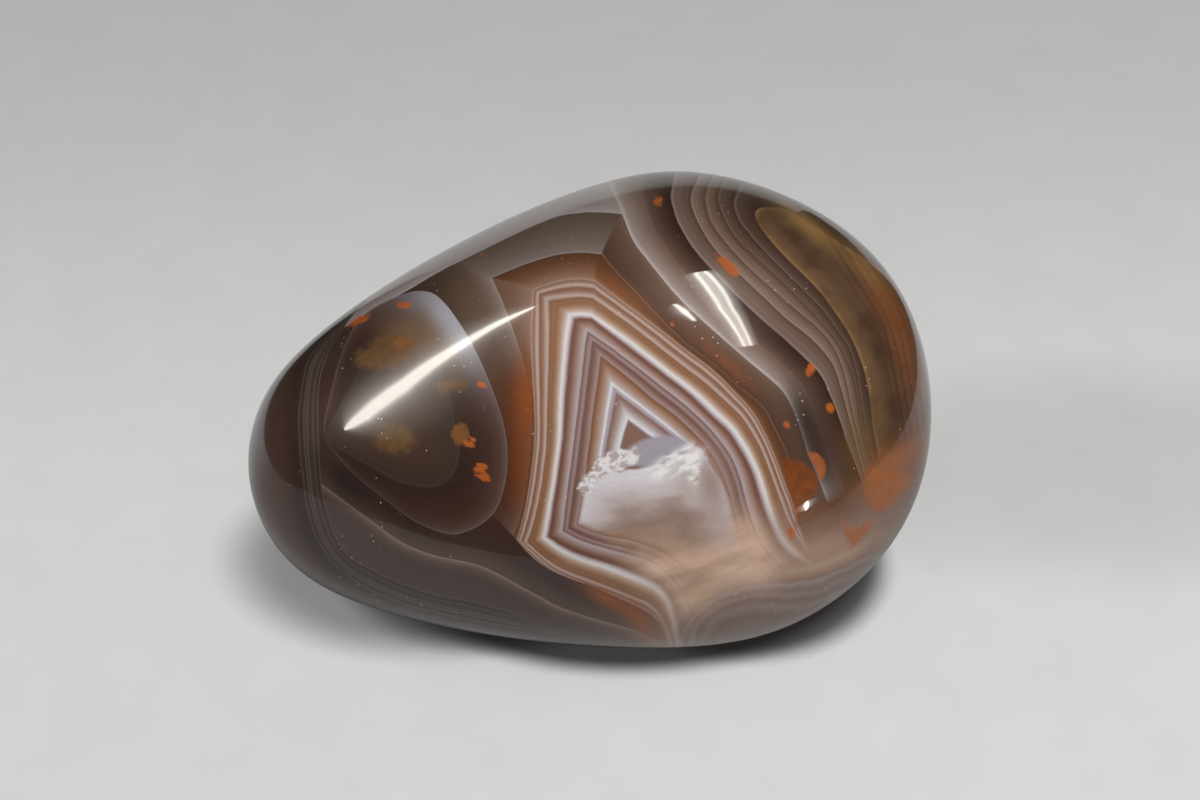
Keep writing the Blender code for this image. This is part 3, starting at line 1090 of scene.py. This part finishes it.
@dataclass
class Banding:
    """Joins the drawing's bands, stains, patches and flecks into the stone's colour."""

    board: Board
    wobble: Grain = Grain(700.0, 3.0)
    rags: Grain = Grain(1500.0, 3.0)
    threads: Grain = Grain(600.0, 4.0, 8.0, 0.3)
    clouds: Grain = Grain(320.0, 5.0)
    drift: Grain = Grain(500.0, 3.0)
    flow: Grain = Grain(160.0, 3.0)
    wisps: Grain = Grain(420.0, 5.0, 22.0, 0.3)
    mottling: Grain = Grain(1200.0, 3.0)
    tearing: Grain = Grain(1400.0)
    strands: Grain = Grain(2200.0, 4.0, 25.0, 0.25)
    gathering: Grain = Grain(260.0)
    fine: Grain = Grain(7000.0)
    cell_scale: float = 1050.0
    cell_bend: float = 0.0013
    speck_scale: float = 1600.0

    def nest(self, levels: dict[str, Socket], innermost: Socket) -> Socket:
        """Lay the nest's bands, with those beside, outside and above it; above it lies a grey shell with a
        painted reflection of the pale table.

        Args:
            levels: the levels of the nest's four sides.
            innermost: the least of them.

        Returns:
            The colour's socket.
        """
        board = self.board
        left, top, right = levels["left"], levels["top"], levels["right"]
        colour = board.bands(innermost, NEST_BANDS)
        beside = board.times(board.under(left, top), board.under(left, 0.0))
        colour = board.blend(beside, colour, board.bands(left, SIDE_BANDS))
        outside = board.times(board.under(right, top), board.rise(right, 0.0, -0.02))
        colour = board.blend(outside, colour, board.bands(right, OUTSIDE_BANDS))
        before = board.under(left, -0.03)
        for name, shade in WARMTHS.items():
            warmth = board.times(board.kept(name), before)
            colour = board.blend(warmth, colour, seen(*shade))
        # Above the top line: the grey shell, painted paler towards the edge as the pale table's
        # reflection.
        return board.blend(board.rise(top, -3.58, -3.62), colour, board.bands(top, SHELL_AND_REFLECTION_BANDS))

    def veil(self, colour: Socket, nest: Socket, ragged: Socket) -> Socket:
        """Draw the pale veil over the nest's middle.

        Args:
            colour: the colour under it.
            nest: the nest's level.
            ragged: the distance by which its edge is torn.

        Returns:
            The colour with the veil.
        """
        board = self.board
        depth = board.kept("veil")
        torn = board.plus(depth, board.times(ragged, 0.6))
        veiled = board.times(board.rise(nest, 4.7, 5.6), board.rise(torn, -0.15, 0.15))
        threaded = board.plus(depth, board.sway(self.threads, 3.6))
        return board.blend(veiled, colour, board.bands(threaded, VEIL_BANDS))

    def fan(self, colour: Socket, wobble: Socket) -> Socket:
        """Lay the fan of thin arcs at the upper right, and the drop inside it.

        Args:
            colour: the colour under it.
            wobble: a small distance added to every arc's own.

        Returns:
            The colour with the fan.
        """
        board = self.board
        fan = board.level("fan", wobble)
        ripple = board.rise(board.math("SINE", board.times(fan, 21.0)), 0.1, 1.0, 0.16)
        ripple = board.times(ripple, board.rise(fan, 0.3, 1.2))
        rippled = board.blend(ripple, board.bands(fan, FAN_BANDS), Tint.RIPPLE.linear)
        colour = board.blend(board.rise(fan, -0.005, 0.005), colour, rippled)
        drop = board.kept("tear")
        shaded = board.rise(board.noise(self.clouds), 0.4, 0.64, 0.55)
        tinted = board.blend(shaded, board.bands(drop, TEAR_BANDS), Tint.CLOUD.linear)
        stripes = board.kept("stripes")
        waves = board.rise(board.math("SINE", board.times(stripes, 11.0)), -0.2, 0.9, 0.6)
        striped = board.times(waves, board.rise(stripes, 0.0, 1.5))
        tinted = board.blend(striped, tinted, Tint.STRIPE.linear)
        return board.blend(board.rise(drop, -0.01, 0.01), colour, tinted)

    def ends(self, colour: Socket, nest: Socket) -> Socket:
        """Lay a painted reflection of the pale table over the lower right, and lay the narrow end's lines
        and its eye.

        Args:
            colour: the colour under them.
            nest: the nest's level, which stays on top.

        Returns:
            The colour with both ends.
        """
        board = self.board
        # Painted reflection: where the polish mirrors the pale table, a smooth paler brown covers the
        # bands.
        zone = board.plus(board.kept("zone"), board.sway(self.drift, 1.6))
        smooth = board.least(board.rise(zone, -0.5, 1.0), board.rise(nest, 0.2, -0.3))
        deep = board.rise(zone, 0.5, 4.5)
        table_reflection = board.blend(deep, Tint.TABLE_REFLECTION_EDGE.linear, Tint.TABLE_REFLECTION_DEEP.linear)
        colour = board.blend(smooth, colour, table_reflection)
        tip = board.level("tip")
        lined = board.least(board.rise(tip, 1.06, 1.0), board.rise(nest, -0.2, -0.6))
        colour = board.blend(lined, colour, board.bands(tip, TIP_BANDS))
        eye = board.level("eye")
        depth = board.kept("eye_0")
        milky = board.times(board.rise(depth, 6.0, 1.0), board.kept("milk"))
        near = board.rise(depth, 2.4, 0.3)
        rim = board.blend(near, Tint.MILK_DEEP.linear, Tint.MILK_RIM.linear)
        iris = board.blend(milky, board.bands(eye, EYE_BANDS), rim)
        return board.blend(board.rise(eye, -0.03, 0.0), colour, iris)

    def haze(self, colour: Socket) -> Socket:
        """Lay the swirls, the warm mist and the plain stains.

        Args:
            colour: the colour under them.

        Returns:
            The colour with them.
        """
        board = self.board
        swirl = board.plus(board.kept("swirl"), board.sway(self.flow, 2.0))
        colour = board.blend(board.kept("haze"), colour, board.bands(swirl, SWIRL_BANDS))
        wisps = board.rise(board.noise(self.wisps), 0.3, 0.7)
        warm = board.blend(wisps, Tint.WISP_DIM.linear, Tint.WISP_PALE.linear)
        colour = board.blend(board.kept("mist"), colour, warm)
        for name, shade in STAIN_COLOURS.items():
            colour = board.blend(board.kept(name), colour, seen(*shade))
        return colour

    def quartz(self, colour: Socket) -> Socket:
        """Lay the small quartz cells and white fibres over the nest's middle.

        Args:
            colour: the colour under them.

        Returns:
            The colour with them.
        """
        board = self.board
        clear = board.rise(board.kept("chalcedony"), 0.25, 0.5)
        colour = board.blend(clear, colour, Tint.CHALCEDONY.linear)
        cells = board.node("ShaderNodeTexVoronoi", feature="DISTANCE_TO_EDGE")
        cells.inputs["Scale"].default_value = self.cell_scale
        place = board.place()
        bent = board.node("ShaderNodeTexNoise")
        bent.inputs["Scale"].default_value = self.rags.scale
        board.join(place, bent.inputs["Vector"])
        shifted = board.node("ShaderNodeVectorMath", operation="MULTIPLY_ADD")
        bend = (self.cell_bend,) * 3
        for value, socket in zip((bent.outputs["Color"], bend, place), shifted.inputs):
            board.join(value, socket)
        board.join(shifted.outputs[0], cells.inputs["Vector"])
        walls = board.rise(cells.outputs["Distance"], 0.3, 0.0)
        crystal = board.blend(walls, Tint.CRYSTAL.linear, Tint.CELL_WALL.linear)
        torn = board.plus(board.kept("quartz"), board.sway(self.tearing, 0.7))
        colour = board.blend(board.rise(torn, 0.36, 0.62), colour, crystal)
        strands = board.rise(board.noise(self.strands), 0.36, 0.56)
        white = board.times(board.rise(board.kept("fibre"), 0.1, 0.7), strands)
        return board.blend(white, colour, Tint.FIBRE.linear)

    def patches(self, colour: Socket, ragged: Socket) -> Socket:
        """Lay the gold and orange patches and flecks, torn at their edges.

        Args:
            colour: the colour under them.
            ragged: the distance by which their edges are torn.

        Returns:
            The colour with them.
        """
        board = self.board
        for name, (frays, softness, dark, light) in PATCHES.items():
            edge = board.plus(board.kept(name), board.times(ragged, frays))
            mottled = board.blend(board.noise(self.mottling), seen(*dark), seen(*light))
            colour = board.blend(board.rise(edge, -softness, softness, 0.88), colour, mottled)
        return colour

    def specks(self, colour: Socket) -> Socket:
        """Scatter the tiny pale specks that lie on the polish.

        Args:
            colour: the colour under them.

        Returns:
            The colour with them.
        """
        board = self.board
        dots = board.node("ShaderNodeTexVoronoi")
        dots.inputs["Scale"].default_value = self.speck_scale
        board.join(board.place(), dots.inputs["Vector"])
        gathered = board.rise(board.noise(self.gathering), 0.46, 0.66, 0.1)
        speck = board.under(dots.outputs["Distance"], gathered)
        return board.blend(board.times(speck, 0.65), colour, Tint.SPECK.linear)

    def colour(self) -> Socket:
        """Lay everything, one over the other.

        Returns:
            The colour's socket.
        """
        board = self.board
        wobble = board.sway(self.wobble, 0.1)
        ragged = board.sway(self.rags, 0.9)
        levels = {name: board.level(name, wobble) for name in ("left", "top", "right", "low")}
        low = levels["low"]
        nest = board.least(board.least(levels["left"], levels["top"]), board.least(levels["right"], low))
        colour = self.veil(self.nest(levels, nest), nest, ragged)
        base = board.bands(board.kept("curve"), LOW_BANDS)
        colour = board.blend(board.rise(low, 0.0, -0.06), colour, base)
        colour = self.ends(self.fan(colour, wobble), nest)
        colour = self.patches(self.quartz(self.haze(colour)), ragged)
        colour = board.blend(1.0, colour, board.sway(self.fine, 0.26, 1.0), "MULTIPLY")
        return self.specks(colour)


@dataclass(frozen=True)
class AgateFinish:
    """Polished banded agate: the bands' colours under a hard clear polish."""

    polish: float = 0.03
    haze: float = 0.3
    index: float = 1.54
    index_below: float = 1.3

    def build(self, ledger: Ledger) -> bpy.types.Material:
        """Make the material.

        Args:
            ledger: where the drawing's numbers are kept.

        Returns:
            The finished material.
        """
        material = bpy.data.materials.new("polished_agate")
        material.use_nodes = True
        board = Board(material.node_tree, ledger)
        shader = board.node("ShaderNodeBsdfPrincipled")
        ending = board.node("ShaderNodeOutputMaterial")
        board.join(shader.outputs["BSDF"], ending.inputs["Surface"])
        board.join(Banding(board).colour(), shader.inputs["Base Color"])
        shader.inputs["Roughness"].default_value = self.haze
        shader.inputs["IOR"].default_value = self.index_below
        shader.inputs["Coat Weight"].default_value = 1.0
        shader.inputs["Coat Roughness"].default_value = self.polish
        shader.inputs["Coat IOR"].default_value = self.index
        return material


@dataclass
class BandedStone:
    """The stone's visible piece: its form, its drawing and its finish."""

    body: StoneBody
    drawing: Drawing
    finish: AgateFinish

    def draw(self, stone: bpy.types.Object) -> Ledger:
        """Keep the drawing's numbers on the stone's mesh.

        Args:
            stone: the stone's object.

        Returns:
            The ledger that names them.
        """
        mesh = stone.data
        places = np.zeros(len(mesh.vertices) * 3)
        facings = np.zeros(len(mesh.vertices) * 3)
        mesh.vertices.foreach_get("co", places)
        mesh.attributes["facing"].data.foreach_get("vector", facings)
        spots, depth = self.drawing.project(places.reshape(-1, 3), facings.reshape(-1, 3))
        ledger = Ledger()
        for name, family in FAMILIES.items():
            for index, (_, contour) in enumerate(family):
                ledger.keep(f"{name}_{index}", contour.inwardness(spots))
        for name, contour in SINGLES.items():
            ledger.keep(name, contour.inwardness(spots))
        for name, ovals in STAINS.items():
            ledger.keep(name, self.drawing.stain(ovals, spots))
        for name, ovals in FLECKS.items():
            ledger.keep(name, self.drawing.fleck(ovals, spots, depth))
        ledger.write(mesh)
        return ledger

    def build(self) -> bpy.types.Object:
        """Make the stone and join it to the frame.

        Returns:
            The stone's object.
        """
        stone = self.body.build()
        stone.data.materials.append(self.finish.build(self.draw(stone)))
        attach(stone, "root")
        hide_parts("agate")
        return stone


GLOW_REACH = 6.0


class Lamp(Enum):
    """The long thin lamps: stations of x, y and half width, each per unit of height."""

    LEFT = (
        (-1.06, -0.33, 0.010), (-0.96, -0.27, 0.056), (-0.82, -0.17, 0.085), (-0.70, -0.03, 0.092),
        (-0.61, 0.10, 0.092), (-0.56, 0.23, 0.088), (-0.52, 0.34, 0.076), (-0.48, 0.47, 0.062),
        (-0.45, 0.585, 0.048), (-0.43, 0.635, 0.036), (-0.41, 0.68, 0.022), (-0.395, 0.71, 0.008),
    )
    OVERHEAD = (
        (-0.094, 0.70, 0.009), (-0.086, 0.65, 0.012), (-0.043, 0.42, 0.0135), (0.003, 0.19, 0.0125),
        (0.049, 0.025, 0.0115), (0.098, -0.135, 0.010),
    )
    SMALL = ((-0.114, 0.322, 0.002), (-0.085, 0.22, 0.006), (-0.057, 0.121, 0.002))
    SPOT = ((3.0, -4.3, 0.03), (3.4, -4.9, 0.11), (4.5, -6.4, 0.12), (5.4, -7.7, 0.03))

    @property
    def across(self) -> Point:
        """The way its width runs, as x and y."""
        return {Lamp.LEFT: (-0.14, 1.0), Lamp.SPOT: (0.82, 0.57)}.get(self, (1.0, 0.0))

    def shine(self, out: float) -> float:
        """Its brightness across the ribbon.

        Args:
            out: how far out, in halves of the tube's width.

        Returns:
            1 on a tube, and a glow that fades out round it.
        """
        if self is Lamp.OVERHEAD:
            steps = ((0.0, 0.5), (0.6, 0.55), (0.8, 1.0), (1.2, 1.0), (1.5, 0.32), (2.1, 0.17), (3.4, 0.0))
        else:
            steps = ((0.0, 1.0), (0.7, 1.0), (1.1, 0.45), (1.6, 0.2), (2.3, 0.11), (3.4, 0.05), (6.0, 0.0))
        return float(np.interp(out, *zip(*steps)))


@dataclass(frozen=True)
class SoftLight:
    """A large soft light: where it hangs, its width and height in metres, and its watts."""

    name: str
    place: Place
    size: float
    power: float


@dataclass(frozen=True)
class Pool:
    """Soft shade on the floor, as an oval in millimetres.

    Inner is the share of the oval where the shade begins to fall off.
    """

    x: float
    y: float
    wide: float
    deep: float
    inner: float
    darkness: float


@dataclass
class Studio:
    """The pale floor, the soft light and the dark room that the polish mirrors.

    Rim lists how far away the table ends, as seen in the polish: pairs of a direction,
    in degrees from +Y towards +X, and a distance in metres. Past it the room is dark.
    """

    height: float = 0.7
    middle: Place = (0.0, 0.0, 0.017)
    floor_size: float = 4.0
    rim_height: float = 0.06
    rim_faces: int = 180
    ribbon_rows: int = 96
    glows: tuple[tuple[Lamp, float], ...] = (
        (Lamp.LEFT, 17.0),
        (Lamp.OVERHEAD, 19.0),
        (Lamp.SMALL, 22.0),
        (Lamp.SPOT, 30.0),
    )
    soft_lights: tuple[SoftLight, ...] = (
        SoftLight("left_soft", (-0.6, 0.0, 0.7), 0.25, 1.7),
        SoftLight("right_soft", (0.42, -0.15, 0.72), 0.3, 4.4),
        SoftLight("front_soft", (0.05, -0.55, 0.85), 0.7, 4.15),
    )
    fill: float = 0.13
    mirrored_fill: float = 0.15
    backdrop: float = 1.0
    floor_grain: Grain = Grain(160.0, 4.0)
    pools: tuple[Pool, ...] = (
        Pool(3.2, -1.2, 22.5, 16.2, 0.7, 0.94),
        Pool(13.0, -3.0, 13.5, 13.0, 0.6, 0.85),
        Pool(-8.0, -2.0, 15.0, 13.2, 0.55, 0.75),
        Pool(-14.0, -2.0, 19.0, 14.0, 0.4, 0.62),
        Pool(46.0, 9.0, 38.0, 18.0, 0.0, 0.17),
    )
    rim: tuple[Point, ...] = (
        (-180.0, 0.090), (-163.0, 0.089), (-158.0, 0.094), (-152.0, 0.113), (-147.0, 0.178),
        (-140.0, 0.388), (-132.0, 0.9), (-112.0, 0.30), (-99.0, 0.126), (-77.0, 0.097),
        (-50.0, 0.088), (-33.0, 0.081), (-27.0, 0.100), (-23.0, 0.143), (-20.0, 0.200),
        (-17.0, 0.9), (15.0, 0.9), (19.0, 0.115), (35.0, 0.300), (40.0, 0.133), (42.0, 0.086),
        (47.0, 0.077), (57.0, 0.080), (94.0, 0.193), (112.0, 0.9), (150.0, 0.9), (165.0, 0.2),
        (180.0, 0.090),
    )

    def floor_colour(self, board: Board) -> Socket:
        """The floor's pale grey, with the stone's shade and a darkening further back painted on it.

        Args:
            board: the floor's board.

        Returns:
            The colour's socket. It is darker where the polish mirrors it.
        """
        place = board.node("ShaderNodeSeparateXYZ")
        board.join(board.place(), place.inputs[0])
        x, y, _ = place.outputs
        mottling = board.noise(self.floor_grain)
        colour = board.blend(mottling, Tint.FLOOR_DIM.linear, Tint.FLOOR_PALE.linear)
        # Painted shade: the floor is darker further back, where the light falls off.
        colour = board.blend(board.rise(y, -0.01, 0.09, 0.34), colour, Tint.FLOOR_FAR_SHADE.linear)
        for pool in self.pools:
            across = board.math("MULTIPLY_ADD", x, 1 / (pool.wide * MM), -pool.x / pool.wide)
            along = board.math("MULTIPLY_ADD", y, 1 / (pool.deep * MM), -pool.y / pool.deep)
            spread = board.math("MULTIPLY_ADD", across, across, board.times(along, along))
            shade = board.rise(spread, 1.0, pool.inner, pool.darkness)
            colour = board.blend(shade, colour, Tint.FLOOR_SHADE.linear)
        mirrored = board.node("ShaderNodeLightPath").outputs["Is Glossy Ray"]
        dimming = board.plus(board.rise(y, 0.025, -0.005, 0.44), 0.18)
        return board.blend(board.times(mirrored, dimming), colour, Tint.FLOOR_MIRRORED.linear)

    def floor(self) -> None:
        """Lay the plain pale floor."""
        bm = bmesh.new()
        bmesh.ops.create_grid(bm, x_segments=2, y_segments=2, size=self.floor_size)
        floor = placed("floor", finished(bm, "floor"))
        material = bpy.data.materials.new("pale_floor")
        material.use_nodes = True
        board = Board(material.node_tree)
        shader = board.node("ShaderNodeBsdfPrincipled")
        ending = board.node("ShaderNodeOutputMaterial")
        board.join(shader.outputs["BSDF"], ending.inputs["Surface"])
        board.join(self.floor_colour(board), shader.inputs["Base Color"])
        shader.inputs["Roughness"].default_value = 0.8
        shader.inputs["Specular IOR Level"].default_value = 0.1
        floor.data.materials.append(material)

    def mirrored(self, mesh: bpy.types.Mesh, glow: float) -> None:
        """Hang a thing of the room that only the polish shows.

        Args:
            mesh: its mesh, in the frame's metres, with a brightness called shine.
            glow: how brightly it shines at most, 0 for not at all.
        """
        material = bpy.data.materials.new(mesh.name)
        material.use_nodes = True
        board = Board(material.node_tree)
        lit = board.node("ShaderNodeEmission")
        lit.inputs["Color"].default_value = Tint.LAMP.linear
        shine = board.node("ShaderNodeAttribute", attribute_name="shine").outputs["Fac"]
        board.join(board.times(shine, glow), lit.inputs["Strength"])
        board.join(lit.outputs[0], board.node("ShaderNodeOutputMaterial").inputs["Surface"])
        mesh.materials.append(material)
        thing = placed(mesh.name, mesh)
        thing.visible_camera = False
        thing.visible_diffuse = False
        thing.visible_shadow = False
        thing.visible_transmission = False

    def ribbon(self, lamp: Lamp, glow: float) -> None:
        """Hang one long thin lamp for the polish to mirror.

        Args:
            lamp: its stations and its profile.
            glow: its brightness.
        """
        bm = bmesh.new()
        shine = bm.verts.layers.float.new("shine")
        stations = len(lamp.value) - 1
        bmesh.ops.create_grid(bm, x_segments=stations, y_segments=self.ribbon_rows, size=1.0)
        for vert in bm.verts:
            x, y, width = lamp.value[round((vert.co.x + 1.0) / 2.0 * stations)]
            out = GLOW_REACH * vert.co.y
            vert[shine] = lamp.shine(abs(out))
            sideways = Vector((*lamp.across, 0.0)) * (out * width)
            vert.co = Vector(self.middle) + (Vector((x, y, 1.0)) + sideways) * self.height
        self.mirrored(finished(bm, f"{lamp.name.lower()}_lamp"), glow)

    def table_end(self) -> None:
        """Stand the dark room's edge where the table ends."""
        bm = bmesh.new()
        ring = bmesh.ops.create_circle(bm, segments=self.rim_faces, radius=1.0)
        turns = [turn for turn, _ in self.rim]
        spans = [1.0 / span for _, span in self.rim]
        for vert in ring["verts"]:
            turn = degrees(atan2(vert.co.x, vert.co.y))
            vert.co *= 1.0 / float(np.interp(turn, turns, spans))
        raised = bmesh.ops.extrude_edge_only(bm, edges=bm.edges[:])
        tops = [item for item in raised["geom"] if isinstance(item, bmesh.types.BMVert)]
        bmesh.ops.translate(bm, vec=(0.0, 0.0, self.rim_height), verts=tops)
        self.mirrored(finished(bm, "table_end"), 0.0)

    def hang(self, light: SoftLight) -> None:
        """Hang a soft light that the polish doesn't mirror and that throws no shadow.

        Args:
            light: the light. It looks at the stone.
        """
        lamp = bpy.data.lights.new(light.name, "AREA")
        lamp.size = light.size
        lamp.energy = light.power
        lamp.use_shadow = False
        holder = placed(light.name, lamp)
        holder.location = light.place
        holder.rotation_mode = "QUATERNION"
        away = Vector(light.place) - Vector(self.middle)
        holder.rotation_quaternion = away.to_track_quat("Z", "Y")
        holder.visible_glossy = False

    def room(self) -> None:
        """Make the room: pale to look at, soft as light, dim where the polish mirrors it."""
        world = bpy.data.worlds.new("room")
        world.use_nodes = True
        bpy.context.scene.world = world
        board = Board(world.node_tree)
        path = board.node("ShaderNodeLightPath")
        shown = None
        for ray, tint, strength in (
            (None, Tint.ROOM_FILL, self.fill),
            ("Is Glossy Ray", Tint.ROOM_MIRRORED, self.mirrored_fill),
            ("Is Camera Ray", Tint.ROOM_SEEN, self.backdrop),
        ):
            air = board.node("ShaderNodeBackground")
            air.inputs["Color"].default_value = tint.linear
            air.inputs["Strength"].default_value = strength
            if ray is None:
                shown = air.outputs[0]
                continue
            choice = board.node("ShaderNodeMixShader")
            for value, socket in zip((path.outputs[ray], shown, air.outputs[0]), choice.inputs):
                board.join(value, socket)
            shown = choice.outputs[0]
        board.join(shown, board.node("ShaderNodeOutputWorld").inputs["Surface"])

    def build(self) -> None:
        """Set up the floor, the lamps and the room."""
        self.floor()
        self.table_end()
        for lamp, glow in self.glows:
            self.ribbon(lamp, glow)
        for light in self.soft_lights:
            self.hang(light)
        self.room()
        bpy.context.scene.view_settings.view_transform = "Standard"
        log.info("studio: floor, lamps and room are in place")


def main() -> None:
    """Build the stone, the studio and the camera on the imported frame."""
    logging.basicConfig(level=logging.INFO, format="%(name)s: %(message)s")
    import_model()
    viewpoint = Viewpoint()
    viewpoint.build()
    stone = BandedStone(StoneBody(), Drawing(viewpoint), AgateFinish()).build()
    log.info("%s rides on root and replaces agate", stone.name)
    Studio().build()


if __name__ == "__main__":
    main()
